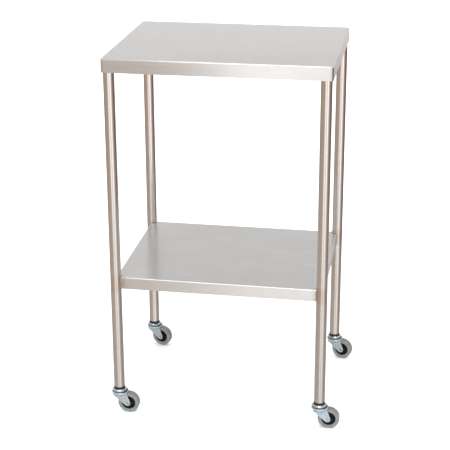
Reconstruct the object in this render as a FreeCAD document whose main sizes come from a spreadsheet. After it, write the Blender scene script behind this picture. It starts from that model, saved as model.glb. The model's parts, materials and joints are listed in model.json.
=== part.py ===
import FreeCAD, Part
import os
import re

import Sketcher

# A small stainless steel work table: a folded top, four tube legs, a folded lower shelf welded
# between the legs, and a swivel caster under each leg.
# Frame: millimetres, origin on the floor under the middle of the top, +X along the long side,
# +Y to the back, +Z up. Each caster is drawn with its swivel axis on Z and its wheel towards +X,
# and each wheel with its axle on Y.

DIMENSIONS = [
    # the folded top
    ("table_width", 508.0),
    ("table_depth", 406.4),
    ("table_height", 863.6),
    ("sheet_gauge", 1.0),
    ("top_skirt", 31.75),
    ("top_bend", 4.0),
    ("top_corner", 8.0),
    # the tube legs, upright just inside the top's corners
    ("leg_radius", 12.7),
    ("leg_wall", 1.5),
    ("leg_inset", 15.3),
    ("leg_foot", 66.0),
    ("leg_bevel", 1.4),
    # the folded shelf, whose edges lie on the lines between the legs
    ("shelf_height", 345.5),
    ("shelf_skirt", 28.6),
    ("shelf_bend", 3.0),
    ("notch_gap", 0.15),
    # the hat channels under the two sheets
    ("hat_width", 50.0),
    ("hat_depth", 15.0),
    ("hat_flange", 12.0),
    ("hat_end_gap", 8.0),
    # weld beads
    ("bead_size", 2.2),
    # the plug in the leg and the kingpin
    ("insert_flange", 5.5),
    ("insert_radius", 13.0),
    ("insert_length", 30.0),
    ("insert_lip", 0.8),
    ("tube_gap", 0.1),
    ("stem_radius", 5.0),
    ("stem_length", 31.0),
    ("pin_radius", 4.0),
    ("pin_head_radius", 5.2),
    ("pin_head", 1.6),
    ("pin_head_round", 0.95),
    ("pin_gap", 0.05),
    # the swivel bearing, from the cap down to the retaining washer
    ("cap_gauge", 1.2),
    ("cap_rim_radius", 17.0),
    ("cap_shoulder_radius", 14.8),
    ("cap_rim_lift", 0.8),
    ("cap_shoulder_drop", 2.75),
    ("cap_bend", 1.2),
    ("upper_ball", 5.2),
    ("upper_race", 11.5),
    ("lower_ball", 2.6),
    ("lower_race", 6.2),
    ("ball_gap", 0.2),
    ("washer_gauge", 1.3),
    ("washer_radius", 8.2),
    # the stamped fork
    ("crown_height", 53.6),
    ("crown_radius", 20.0),
    ("crown_offset", 1.5),
    ("crown_rim", 4.1),
    ("crown_bend", 2.0),
    ("throat_radius", 11.5),
    ("throat_height", 41.5),
    ("fork_gauge", 1.6),
    ("fork_gap", 17.6),
    ("fork_heel", 14.0),
    ("fork_heel_height", 43.7),
    ("fork_toe", 17.0),
    ("fork_web_end", 4.5),
    ("ear_radius", 8.0),
    ("ear_back", 5.6),
    ("ear_corner", 6.8),
    ("swivel_gap", 0.4),
    # the wheel and its axle
    ("trail", 22.3),
    ("wheel_radius", 25.4),
    ("wheel_width", 16.0),
    ("tyre_shoulder", 2.4),
    ("core_radius", 16.8),
    ("core_width", 13.0),
    ("core_rim", 2.4),
    ("core_web", 6.0),
    ("hub_radius", 7.5),
    ("hub_play", 0.4),
    ("sleeve_radius", 4.5),
    ("sleeve_play", 0.1),
    ("bearing_gap", 0.06),
    ("axle_radius", 3.0),
    ("axle_head_radius", 4.2),
    ("axle_head", 2.2),
    ("axle_dome", 1.4),
    ("axle_end", 1.5),
    ("nut_flats", 10.0),
    ("nut_height", 5.0),
    # degrees that each caster has swivelled from +X towards +Y
    ("front_left_turn", 0.0),
    ("front_right_turn", 2.0),
    ("back_left_turn", -13.0),
    ("back_right_turn", -12.0),
]

UPPER_BALLS = 13
LOWER_BALLS = 12

# how close two coordinates are to count as one, and the least volume that a real cut takes
SAME_PLACE = 0.01
LEAST_CUT = 1.0

# which side of the table each corner is on, along X and along Y
CORNERS = {
    "front_left": (-1, -1),
    "front_right": (1, -1),
    "back_left": (-1, 1),
    "back_right": (1, 1),
}

ALIASES = [alias for alias, _ in DIMENSIONS]

# lengths that several pieces share, as formulas of the driving dimensions
TOP_UNDERSIDE = "(table_height - sheet_gauge)"
SHELF_UNDERSIDE = "(shelf_height - sheet_gauge)"
LEG_X = "(table_width / 2 - leg_inset)"
LEG_Y = "(table_depth / 2 - leg_inset)"
CAP_TOP = "(leg_foot - insert_flange)"
CROWN_UNDERSIDE = "(crown_height - fork_gauge)"
WASHER_TOP = f"({CROWN_UNDERSIDE} - lower_ball - 2 * ball_gap)"
WASHER_BOTTOM = f"({WASHER_TOP} - washer_gauge)"
FORK_SIDE = "(fork_gap / 2 + fork_gauge)"
EAR_BOTTOM = "(wheel_radius - ear_radius)"

document = FreeCAD.newDocument("work_table")
dims = document.addObject("Spreadsheet::Sheet", "dims")
for row, (alias, size) in enumerate(DIMENSIONS, start=1):
    dims.set(f"A{row}", alias)
    dims.set(f"B{row}", str(size))
    dims.setAlias(f"B{row}", alias)
document.recompute()

subparts = []


def formula(text):
    """The formula with each driving dimension written as a reference to its cell."""
    return re.sub(r"[a-z_]+", lambda word: f"dims.{word[0]}" if word[0] in ALIASES else word[0], text)


def value(text):
    result = dims.evalExpression(formula(text))
    return float(getattr(result, "Value", result))


def bind(item, prop, text):
    item.setExpression(prop, formula(text))


def origin_item(body, role):
    return next(item for item in body.Origin.OriginFeatures if item.Role == role)


def new_body(label, x="0", y="0", z="0", turn="0"):
    """An empty body, placed at x, y, z and turned about Z."""
    body = document.addObject("PartDesign::Body", label)
    body.Label = label
    body.AllowCompound = True
    place = f"create(<<vector>>; {x}; {y}; {z})"
    spin = f"create(<<rotation>>; create(<<vector>>; 0; 0; 1); {turn})"
    bind(body, "Placement", f"create(<<placement>>; {place}; {spin})")
    subparts.append(body)
    return body


def new_sketch(body, name, plane, offset):
    sketch = body.newObject("Sketcher::SketchObject", f"{body.Name}_{name}")
    sketch.AttachmentSupport = [(origin_item(body, plane), "")]
    sketch.MapMode = "FlatFace"
    for axis, text in zip("xyz", offset):
        bind(sketch, f"AttachmentOffset.Base.{axis}", text)
    return sketch


def pin_down(sketch, geometry, point, x, y):
    """Holds one point of a sketch at the place that two formulas give."""
    for kind, text in (("DistanceX", x), ("DistanceY", y)):
        index = sketch.addConstraint(Sketcher.Constraint(kind, -1, 1, geometry, point, value(text)))
        bind(sketch, f"Constraints[{index}]", text)


def outline(body, name, plane, corners, offset=("0", "0", "0")):
    """A closed sketch of straight lines through corners given as pairs of formulas."""
    sketch = new_sketch(body, name, plane, offset)
    points = [FreeCAD.Vector(value(x), value(y), 0) for x, y in corners]
    for start, end in zip(points, points[1:] + points[:1]):
        sketch.addGeometry(Part.LineSegment(start, end))
    for index in range(len(corners)):
        following = (index + 1) % len(corners)
        sketch.addConstraint(Sketcher.Constraint("Coincident", index, 2, following, 1))
    for index, (x, y) in enumerate(corners):
        pin_down(sketch, index, 1, x, y)
    return sketch


def circles(body, name, plane, radius, centres, offset=("0", "0", "0")):
    """A sketch of equal circles, their centres given as pairs of formulas."""
    sketch = new_sketch(body, name, plane, offset)
    for index, (x, y) in enumerate(centres):
        centre = FreeCAD.Vector(value(x), value(y), 0)
        sketch.addGeometry(Part.Circle(centre, FreeCAD.Vector(0, 0, 1), value(radius)))
        pin_down(sketch, index, 3, x, y)
        size = sketch.addConstraint(Sketcher.Constraint("Radius", index, value(radius)))
        bind(sketch, f"Constraints[{size}]", radius)
    return sketch


def pad(body, sketch, length, symmetric=False):
    feature = body.newObject("PartDesign::Pad", f"{sketch.Name}_pad")
    feature.Profile = sketch
    feature.SideType = "Symmetric" if symmetric else "One side"
    bind(feature, "Length", length)
    document.recompute()
    return feature


def cut_through(body, sketch, length):
    """A pocket that runs length/2 to each side of its sketch."""
    before = body.Shape.Volume
    feature = body.newObject("PartDesign::Pocket", f"{sketch.Name}_pocket")
    feature.Profile = sketch
    feature.SideType = "Symmetric"
    bind(feature, "Length", length)
    document.recompute()
    if body.Shape.Volume > before - LEAST_CUT:
        raise ValueError(f"{feature.Name} cut nothing")
    return feature


def revolve(body, sketch, axis="V_Axis", sweep="360"):
    feature = body.newObject("PartDesign::Revolution", f"{sketch.Name}_turn")
    feature.Profile = sketch
    feature.ReferenceAxis = (sketch, [axis])
    bind(feature, "Angle", sweep)
    document.recompute()
    return feature


def fillet(body, base, name, radius, chosen):
    """Rounds the edges of the base that the chosen test accepts."""
    edges = [f"Edge{i}" for i, edge in enumerate(base.Shape.Edges, start=1) if chosen(edge)]
    feature = body.newObject("PartDesign::Fillet", f"{body.Name}_{name}")
    feature.Base = (base, edges)
    bind(feature, "Radius", radius)
    document.recompute()
    return feature


def is_circle(edge, radius, **centre):
    """True for a circular edge of this radius whose centre has the named coordinates."""
    if not isinstance(edge.Curve, Part.Circle) or abs(edge.Curve.Radius - value(radius)) > SAME_PLACE:
        return False
    middle = edge.Curve.Center
    return all(abs(getattr(middle, axis) - value(at)) < SAME_PLACE for axis, at in centre.items())


def rectangle(half_x, half_y):
    return [(f"-{half_x}", f"-{half_y}"), (half_x, f"-{half_y}"), (half_x, half_y), (f"-{half_x}", half_y)]


def folded_sheet(label, half_x, half_y, surface, skirt, bend, corner=None):
    """A sheet with its four edges folded down, rounded along each bend and open underneath."""
    body = new_body(label)
    offset = ("0", "0", f"{surface} - {skirt}")
    blank = outline(body, "blank", "XY_Plane", rectangle(half_x, half_y), offset)
    solid = pad(body, blank, skirt)
    if corner:
        upright = value(skirt) - SAME_PLACE
        solid = fillet(body, solid, "corners", corner, lambda edge: edge.BoundBox.ZLength > upright)
    top = value(surface) - SAME_PLACE
    solid = fillet(body, solid, "bends", bend, lambda edge: edge.BoundBox.ZMin > top)
    floor = value(f"{surface} - {skirt}") + SAME_PLACE
    sides = enumerate(solid.Shape.Faces, start=1)
    faces = [f"Face{i}" for i, face in sides if face.BoundBox.ZMax < floor]
    shell = body.newObject("PartDesign::Thickness", f"{label}_gauge")
    shell.Base = (solid, faces)
    bind(shell, "Value", "sheet_gauge")
    shell.Reversed = True
    document.recompute()
    return body


def table_top():
    folded_sheet(
        "table_top", "table_width / 2", "table_depth / 2", "table_height", "top_skirt", "top_bend", "top_corner"
    )


def lower_shelf():
    body = folded_sheet("lower_shelf", LEG_X, LEG_Y, "shelf_height", "shelf_skirt", "shelf_bend")
    centres = rectangle(LEG_X, LEG_Y)
    offset = ("0", "0", "shelf_height")
    notches = circles(body, "notches", "XY_Plane", "leg_radius + notch_gap", centres, offset)
    cut_through(body, notches, "4 * shelf_skirt")


def leg(corner, x, y):
    """A tube from the caster's plug up to the underside of the top, bevelled there for its weld."""
    body = new_body(f"leg_{corner}", x, y, "leg_foot")
    length = f"({TOP_UNDERSIDE} - leg_foot)"
    wall = outline(
        body,
        "wall",
        "XZ_Plane",
        [
            ("leg_radius - leg_wall", "0"),
            ("leg_radius", "0"),
            ("leg_radius", f"{length} - leg_bevel"),
            ("leg_radius - leg_bevel", length),
            ("leg_radius - leg_wall", length),
        ],
    )
    revolve(body, wall)


def hat_channel(label, underside, length):
    """A folded channel along X, welded by its two flanges to the underside of a sheet."""
    body = new_body(label, z=underside)
    half, brim = "(hat_width / 2)", "(hat_width / 2 + hat_flange)"
    right = [
        (f"{half} - sheet_gauge", "-hat_depth + sheet_gauge"),
        (f"{half} - sheet_gauge", "0"),
        (brim, "0"),
        (brim, "-sheet_gauge"),
        (half, "-sheet_gauge"),
        (half, "-hat_depth"),
    ]
    left = [(f"-({y})", z) for y, z in reversed(right)]
    section = outline(body, "section", "YZ_Plane", right + left)
    pad(body, section, length, symmetric=True)


def mirror(body, base, role):
    feature = body.newObject("PartDesign::Mirrored", f"{base.Name}_{role[:2].lower()}")
    feature.TransformMode = "Whole shape"
    feature.MirrorPlane = (origin_item(body, role), [""])
    body.Tip = feature
    document.recompute()
    return feature


def on_all_corners(body, base):
    """Repeats what is built at the back right leg at the other three."""
    mirror(body, mirror(body, base, "YZ_Plane"), "XZ_Plane")


def bead(body, name, height, section, start, sweep):
    """A fillet weld of this section, part of the way round the back right leg, against a flat sheet."""
    sketch = outline(body, name, "XZ_Plane", section)
    spin = f"create(<<rotation>>; create(<<vector>>; 0; 0; 1); {start})"
    upright = "create(<<rotation>>; create(<<vector>>; 1; 0; 0); 90)"
    place = f"create(<<vector>>; {LEG_X}; {LEG_Y}; {height})"
    sketch.MapMode = "Deactivated"
    bind(sketch, "Placement", f"create(<<placement>>; {place}; {spin} * {upright})")
    return revolve(body, sketch, sweep=sweep)


def top_weld_beads():
    """The bead under the top that fills the bevel at the end of each leg."""
    body = new_body("top_weld_beads")
    section = [
        ("leg_radius - leg_bevel", "0"),
        ("leg_radius + bead_size", "0"),
        ("leg_radius", "-bead_size"),
        ("leg_radius", "-leg_bevel"),
    ]
    on_all_corners(body, bead(body, "ring", TOP_UNDERSIDE, section, "135", "180"))


def shelf_weld_beads():
    """The bead round each leg on the shelf, and the seams where the two skirts meet the leg."""
    body = new_body("shelf_weld_beads")
    section = [("leg_radius", "0"), ("leg_radius + bead_size", "0"), ("leg_radius", "bead_size")]
    bead(body, "ring", "shelf_height", section, "194", "62")
    bottom = ("0", "0", "shelf_height - shelf_skirt")
    along, across = f"{LEG_X} - leg_radius", f"{LEG_Y} - leg_radius"
    back_seam = [
        (f"{along} - bead_size", LEG_Y),
        (f"{along} + bead_size", LEG_Y),
        (f"{along} + bead_size / 4", f"{LEG_Y} + bead_size"),
    ]
    side_seam = [
        (LEG_X, f"{across} - bead_size"),
        (LEG_X, f"{across} + bead_size"),
        (f"{LEG_X} + bead_size", f"{across} + bead_size / 4"),
    ]
    for name, corners in (("back_seam", back_seam), ("side_seam", side_seam)):
        pad(body, outline(body, name, "XY_Plane", corners, bottom), "shelf_skirt - shelf_bend")
    surface = ("0", "0", "shelf_height")
    leg_hole = circles(body, "leg_hole", "XY_Plane", "leg_radius", [(LEG_X, LEG_Y)], surface)
    cut_through(body, leg_hole, "4 * shelf_skirt")
    on_all_corners(body, body.Tip)


def insert(corner, place):
    """The nylon plug: a flange under the leg's end and a sleeve up inside the tube."""
    body = new_body(f"insert_{corner}", **place)
    bore = "stem_radius + pin_gap"
    section = outline(
        body,
        "section",
        "XZ_Plane",
        [
            (bore, CAP_TOP),
            ("insert_radius", CAP_TOP),
            ("insert_radius", "leg_foot"),
            ("leg_radius - leg_wall - tube_gap", "leg_foot"),
            ("leg_radius - leg_wall - tube_gap", "leg_foot + insert_length"),
            (bore, "leg_foot + insert_length"),
        ],
    )
    solid = revolve(body, section)
    fillet(body, solid, "lip", "insert_lip", lambda edge: is_circle(edge, "insert_radius"))


def kingpin(corner, place):
    """The stem in the plug, the neck through the bearing and the riveted head under it."""
    body = new_body(f"kingpin_{corner}", **place)
    section = outline(
        body,
        "section",
        "XZ_Plane",
        [
            ("0", f"{WASHER_BOTTOM} - pin_head"),
            ("pin_head_radius", f"{WASHER_BOTTOM} - pin_head"),
            ("pin_head_radius", WASHER_BOTTOM),
            ("pin_radius", WASHER_BOTTOM),
            ("pin_radius", CAP_TOP),
            ("stem_radius", CAP_TOP),
            ("stem_radius", f"{CAP_TOP} + stem_length"),
            ("0", f"{CAP_TOP} + stem_length"),
        ],
    )
    solid = revolve(body, section)
    head = f"{WASHER_BOTTOM} - pin_head"
    fillet(body, solid, "head", "pin_head_round", lambda edge: is_circle(edge, "pin_head_radius", z=head))


def race_cap(corner, place):
    """The pressed cup over the upper balls, its rim just clear of the turning crown."""
    body = new_body(f"race_cap_{corner}", **place)
    rim = "crown_height + cap_rim_lift"
    waist = f"({CAP_TOP} - cap_shoulder_drop)"
    section = outline(
        body,
        "section",
        "XZ_Plane",
        [
            ("pin_radius + pin_gap", CAP_TOP),
            ("pin_radius + pin_gap", f"{CAP_TOP} - cap_gauge"),
            ("cap_shoulder_radius - cap_gauge / 2", f"{CAP_TOP} - cap_gauge"),
            ("cap_rim_radius - cap_gauge", f"{waist} - cap_gauge / 2"),
            ("cap_rim_radius - cap_gauge", rim),
            ("cap_rim_radius", rim),
            ("cap_rim_radius", waist),
            ("cap_shoulder_radius", CAP_TOP),
        ],
    )
    solid = revolve(body, section)
    fillet(body, solid, "shoulder", "cap_bend", lambda edge: is_circle(edge, "cap_rim_radius", z=waist))


def ball_ring(label, place, ball, race, height, count):
    body = new_body(label, **place)
    sphere = body.newObject("PartDesign::AdditiveSphere", f"{label}_ball")
    sphere.AttachmentSupport = [(origin_item(body, "XY_Plane"), "")]
    sphere.MapMode = "FlatFace"
    bind(sphere, "Radius", f"{ball} / 2")
    bind(sphere, "AttachmentOffset.Base.x", race)
    bind(sphere, "AttachmentOffset.Base.z", height)
    document.recompute()
    ring = body.newObject("PartDesign::PolarPattern", f"{label}_ring")
    ring.Originals = [sphere]
    ring.Axis = (origin_item(body, "Z_Axis"), [""])
    ring.Angle = 360
    ring.Occurrences = count
    body.Tip = ring
    document.recompute()


def lower_washer(corner, place):
    body = new_body(f"lower_washer_{corner}", **place)
    section = outline(
        body,
        "section",
        "XZ_Plane",
        [
            ("pin_radius + pin_gap", WASHER_BOTTOM),
            ("washer_radius", WASHER_BOTTOM),
            ("washer_radius", WASHER_TOP),
            ("pin_radius + pin_gap", WASHER_TOP),
        ],
    )
    revolve(body, section)


def fork(corner, place):
    """One stamping: a round crown drawn down into a funnel, and two cheeks that hold the axle.

    The side towards the heel is closed by a web, and the side towards the wheel is open.
    """
    body = new_body(f"fork_{corner}", **place)
    rim = "crown_height - crown_rim"
    crown = outline(
        body,
        "crown",
        "XZ_Plane",
        [
            ("0", CROWN_UNDERSIDE),
            ("crown_radius - fork_gauge", CROWN_UNDERSIDE),
            ("crown_radius - fork_gauge", rim),
            ("throat_radius - fork_gauge", "throat_height"),
            ("throat_radius", "throat_height"),
            ("crown_radius", rim),
            ("crown_radius", "crown_height"),
            ("0", "crown_height"),
        ],
        ("crown_offset", "0", "0"),
    )
    solid = revolve(body, crown)
    fillet(
        body,
        solid,
        "crown_edge",
        "crown_bend",
        lambda edge: is_circle(edge, "crown_radius", z="crown_height"),
    )
    cheek = outline(
        body,
        "cheek",
        "XZ_Plane",
        [
            ("-fork_heel", f"{CROWN_UNDERSIDE} + fork_gauge / 2"),
            ("-fork_heel", "fork_heel_height"),
            ("trail - ear_back", EAR_BOTTOM),
            ("trail + ear_radius", EAR_BOTTOM),
            ("fork_toe", f"{CROWN_UNDERSIDE} + fork_gauge / 2"),
        ],
    )
    solid = pad(body, cheek, f"2 * {FORK_SIDE}", symmetric=True)
    ear_bottom = value(EAR_BOTTOM) + SAME_PLACE
    fillet(
        body,
        solid,
        "ears",
        "ear_corner",
        lambda edge: edge.BoundBox.ZMax < ear_bottom and edge.BoundBox.XLength < SAME_PLACE,
    )
    slope = f"((fork_heel_height - {EAR_BOTTOM}) / (fork_heel + trail - ear_back))"
    inner_heel = "fork_heel_height + fork_gauge / 2"
    web_run = "(fork_heel - fork_gauge - fork_web_end)"
    slot = outline(
        body,
        "slot",
        "XZ_Plane",
        [
            ("-fork_heel + fork_gauge", CROWN_UNDERSIDE),
            ("-fork_heel + fork_gauge", inner_heel),
            ("-fork_web_end", f"{inner_heel} - {slope} * {web_run}"),
            ("-fork_web_end", "0"),
            ("2 * trail", "0"),
            ("2 * trail", CROWN_UNDERSIDE),
        ],
    )
    cut_through(body, slot, "fork_gap")
    pin_hole = circles(
        body, "pin_hole", "XY_Plane", "pin_radius + swivel_gap", [("0", "0")], ("0", "0", "crown_height")
    )
    cut_through(body, pin_hole, "4 * fork_gauge")
    axle_place = [("trail", "wheel_radius")]
    axle_hole = circles(body, "axle_hole", "XZ_Plane", "axle_radius + tube_gap", axle_place)
    cut_through(body, axle_hole, "4 * fork_gap")


def turned_piece(label, place, corners):
    """A round piece of the wheel or axle, its section given as places along the axle and radii."""
    body = new_body(label, **place)
    section = outline(body, "section", "YZ_Plane", corners)
    return body, revolve(body, section, axis="H_Axis")


def axle(corner, place):
    """The axle bolt, its domed head on the outer cheek and its end past the nut."""
    head = f"-({FORK_SIDE} + axle_head)"
    end = f"{FORK_SIDE} + nut_height + axle_end"
    body, solid = turned_piece(
        f"axle_{corner}",
        place,
        [
            (head, "0"),
            (head, "axle_head_radius"),
            (f"-{FORK_SIDE}", "axle_head_radius"),
            (f"-{FORK_SIDE}", "axle_radius"),
            (end, "axle_radius"),
            (end, "0"),
        ],
    )
    fillet(body, solid, "dome", "axle_dome", lambda edge: is_circle(edge, "axle_head_radius", y=head))


def axle_nut(corner, place):
    body = new_body(f"axle_nut_{corner}", **place)
    reach = "nut_flats / sqrt(3)"
    corners = [(f"{reach} * cos({angle})", f"{reach} * sin({angle})") for angle in range(0, 360, 60)]
    offset = ("0", "0", f"-({FORK_SIDE} + nut_height)")
    hexagon = outline(body, "hexagon", "XZ_Plane", corners, offset)
    pad(body, hexagon, "nut_height")
    hole = circles(body, "hole", "XZ_Plane", "axle_radius + pin_gap", [("0", "0")])
    cut_through(body, hole, "8 * fork_gap")


def spanner(corner, place):
    """The steel sleeve clamped between the cheeks, which the wheel turns on."""
    half = "(fork_gap / 2 - sleeve_play)"
    turned_piece(
        f"spanner_{corner}",
        place,
        [
            (f"-{half}", "axle_radius + tube_gap"),
            (f"-{half}", "sleeve_radius"),
            (half, "sleeve_radius"),
            (half, "axle_radius + tube_gap"),
        ],
    )


def wheel_core(corner, place):
    """The moulded hub: a boss on the sleeve, a web and a rim under the tyre."""
    boss, web, rim = "(fork_gap / 2 - hub_play)", "(core_web / 2)", "(core_width / 2)"
    bore = "sleeve_radius + bearing_gap"
    inner_rim = "core_radius - core_rim"
    right = [
        (boss, bore),
        (boss, "hub_radius"),
        (web, "hub_radius"),
        (web, inner_rim),
        (rim, inner_rim),
        (rim, "core_radius"),
    ]
    left = [(f"-{y}", r) for y, r in reversed(right)]
    turned_piece(f"wheel_core_{corner}", place, right + left)


def tyre(corner, place):
    half = "(wheel_width / 2)"
    body, solid = turned_piece(
        f"tyre_{corner}",
        place,
        [
            (f"-{half}", "core_radius"),
            (f"-{half}", "wheel_radius"),
            (half, "wheel_radius"),
            (half, "core_radius"),
        ],
    )
    fillet(body, solid, "shoulders", "tyre_shoulder", lambda edge: is_circle(edge, "wheel_radius"))


def caster(corner, x, y):
    """The plug, the swivel bearing, the fork and the wheel under one leg."""
    turn = f"{corner}_turn"
    swivel = {"x": x, "y": y, "turn": turn}
    wheel = {
        "x": f"{x} + trail * cos({turn})",
        "y": f"{y} + trail * sin({turn})",
        "z": "wheel_radius",
        "turn": turn,
    }
    insert(corner, swivel)
    kingpin(corner, swivel)
    race_cap(corner, swivel)
    upper = "crown_height + ball_gap + upper_ball / 2"
    lower = f"{CROWN_UNDERSIDE} - ball_gap - lower_ball / 2"
    ball_ring(f"upper_balls_{corner}", swivel, "upper_ball", "upper_race", upper, UPPER_BALLS)
    ball_ring(f"lower_balls_{corner}", swivel, "lower_ball", "lower_race", lower, LOWER_BALLS)
    lower_washer(corner, swivel)
    fork(corner, swivel)
    axle(corner, wheel)
    axle_nut(corner, wheel)
    spanner(corner, wheel)
    wheel_core(corner, wheel)
    tyre(corner, wheel)


def check_everything():
    """Stops if any object failed to rebuild or any sub-part is not one or more sound solids."""
    document.recompute()
    for item in document.Objects:
        if "Invalid" in item.State or "Error" in item.State:
            raise ValueError(f"{item.Name} did not rebuild: {item.State}")
    for body in subparts:
        shape = body.Shape
        if shape.isNull() or not shape.isValid() or not shape.Solids:
            raise ValueError(f"{body.Label} has no valid solid")


def export_everything():
    os.makedirs("parts", exist_ok=True)
    for body in subparts:
        body.Shape.exportStep(f"parts/{body.Label}.step")
        print(f"{body.Label}: {len(body.Shape.Solids)} solids, {body.Shape.Volume:.0f} mm3")


table_top()
hat_channel("top_stiffener", TOP_UNDERSIDE, "table_width - 2 * (sheet_gauge + hat_end_gap)")
lower_shelf()
hat_channel("shelf_stiffener", SHELF_UNDERSIDE, f"2 * ({LEG_X} - sheet_gauge - hat_end_gap)")
top_weld_beads()
shelf_weld_beads()
for corner_name, (side_x, side_y) in CORNERS.items():
    leg_x, leg_y = f"{side_x} * {LEG_X}", f"{side_y} * {LEG_Y}"
    leg(corner_name, leg_x, leg_y)
    caster(corner_name, leg_x, leg_y)
check_everything()
export_everything()
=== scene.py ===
import json
import math

import bmesh
import bpy
from mathutils import Matrix, Vector


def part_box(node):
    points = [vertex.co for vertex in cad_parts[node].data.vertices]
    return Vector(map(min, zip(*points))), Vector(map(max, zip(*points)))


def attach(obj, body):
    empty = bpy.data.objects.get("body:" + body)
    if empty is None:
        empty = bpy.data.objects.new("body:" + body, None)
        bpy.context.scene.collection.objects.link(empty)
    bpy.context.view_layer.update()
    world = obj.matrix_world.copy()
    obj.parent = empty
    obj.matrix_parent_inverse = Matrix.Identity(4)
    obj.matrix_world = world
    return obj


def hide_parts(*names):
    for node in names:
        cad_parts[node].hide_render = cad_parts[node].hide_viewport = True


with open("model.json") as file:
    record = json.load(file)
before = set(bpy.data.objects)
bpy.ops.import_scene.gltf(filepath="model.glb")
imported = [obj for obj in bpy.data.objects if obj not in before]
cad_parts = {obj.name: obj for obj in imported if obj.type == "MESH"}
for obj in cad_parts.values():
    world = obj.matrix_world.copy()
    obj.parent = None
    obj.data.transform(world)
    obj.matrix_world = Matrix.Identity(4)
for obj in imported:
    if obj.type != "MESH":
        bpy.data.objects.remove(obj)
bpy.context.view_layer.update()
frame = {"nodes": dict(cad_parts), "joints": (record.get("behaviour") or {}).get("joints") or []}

# ---------------------------------------------------------------------------------------------
# The legs
# Four straight lengths of one inch stainless tube, satin polished on a lathe, so the fine lines
# run round them. Each is bevelled at the top for its weld and takes the caster's plug below.
# ---------------------------------------------------------------------------------------------

CORNERS = ("front_left", "front_right", "back_left", "back_right")
LEG_WALL = 0.0015
LEG_BEVEL = 0.0014
LEG_BURR = 0.0003
LEG_SIDES = 96
LEG_STEPS = 24
LEG_COLOUR = (0.68, 0.655, 0.63, 1)
HEAT_TINT = (0.50, 0.375, 0.27, 1)


def node_of(tree, kind, inputs=None, **settings):
    """One node of a tree, with its settings, its constant inputs and the links into it."""
    made = tree.nodes.new(kind)
    for name, setting in settings.items():
        setattr(made, name, setting)
    for key, source in (inputs or {}).items():
        if isinstance(source, bpy.types.NodeSocket):
            tree.links.new(source, made.inputs[key])
        else:
            made.inputs[key].default_value = source
    return made


def maths(tree, operation, first, second=0.0):
    """One sum on two numbers or sockets."""
    made = node_of(tree, "ShaderNodeMath", {0: first, 1: second}, operation=operation)
    return made.outputs[0]


def between(tree, value, low, high, to_low, to_high):
    """The value carried smoothly from the range low to high into the range to_low to to_high."""
    made = node_of(
        tree,
        "ShaderNodeMapRange",
        {"Value": value, "From Min": low, "From Max": high, "To Min": to_low, "To Max": to_high},
        interpolation_type="SMOOTHSTEP",
    )
    return made.outputs["Result"]


def blended(tree, share, first, second):
    """Two colours mixed by a share from 0 to 1."""
    made = node_of(tree, "ShaderNodeMix", {0: share, 6: first, 7: second}, data_type="RGBA")
    return made.outputs[2]


def stretched_noise(tree, coordinates, stretch, scale=1.0, detail=3.0):
    """Noise drawn out by a stretch for each axis, which gives the lines of a brushed finish."""
    mapping = node_of(tree, "ShaderNodeMapping", {"Vector": coordinates, "Scale": stretch})
    noise = node_of(
        tree,
        "ShaderNodeTexNoise",
        {"Vector": mapping.outputs[0], "Scale": scale, "Detail": detail, "Roughness": 0.55},
    )
    return noise.outputs["Fac"]


def new_finish(name):
    """An empty finish: its tree, its shader and the object's own coordinates."""
    finish = bpy.data.materials.new(name)
    finish.use_nodes = True
    tree = finish.node_tree
    shader = tree.nodes["Principled BSDF"]
    place = tree.nodes.new("ShaderNodeTexCoord").outputs["Object"]
    return finish, tree, shader, place


def bumped(tree, shader, height, depth):
    """Raises the surface by a height from 0 to 1, over a depth in metres."""
    bump = node_of(tree, "ShaderNodeBump", {"Height": height, "Distance": depth, "Strength": 1.0})
    before = shader.inputs["Normal"].links
    if before:
        tree.links.new(before[0].from_socket, bump.inputs["Normal"])
    tree.links.new(bump.outputs[0], shader.inputs["Normal"])


def satin_tube(shelf_low, shelf_high):
    """Lathe polished stainless tube, with a straw heat tint near the shelf's welds."""
    finish, tree, shader, place = new_finish("satin_tube")
    lines = stretched_noise(tree, place, (30, 30, 4200), detail=4)
    bands = stretched_noise(tree, place, (9, 9, 130), detail=3)
    patches = stretched_noise(tree, place, (14, 14, 5), detail=3)
    height = node_of(tree, "ShaderNodeSeparateXYZ", {0: place}).outputs["Z"]
    near_weld = maths(
        tree,
        "MULTIPLY",
        between(tree, height, shelf_low - 0.010, shelf_low + 0.004, 0.0, 1.0),
        between(tree, height, shelf_high - 0.002, shelf_high + 0.016, 1.0, 0.0),
    )
    tint = maths(tree, "MULTIPLY", near_weld, between(tree, patches, 0.35, 0.7, 0.05, 0.5))
    polished = blended(tree, between(tree, bands, 0.3, 0.7, 0.0, 0.16), LEG_COLOUR, (0.56, 0.53, 0.50, 1))
    tree.links.new(blended(tree, tint, polished, HEAT_TINT), shader.inputs["Base Color"])
    tree.links.new(between(tree, lines, 0.3, 0.7, 0.12, 0.19), shader.inputs["Roughness"])
    shader.inputs["Metallic"].default_value = 1.0
    shader.inputs["Anisotropic"].default_value = 0.85
    shader.inputs["Anisotropic Rotation"].default_value = 0.25
    round_the_leg = node_of(tree, "ShaderNodeTangent", direction_type="RADIAL", axis="Z")
    tree.links.new(round_the_leg.outputs[0], shader.inputs["Tangent"])
    bumped(tree, shader, lines, 0.00001)
    return finish


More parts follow.
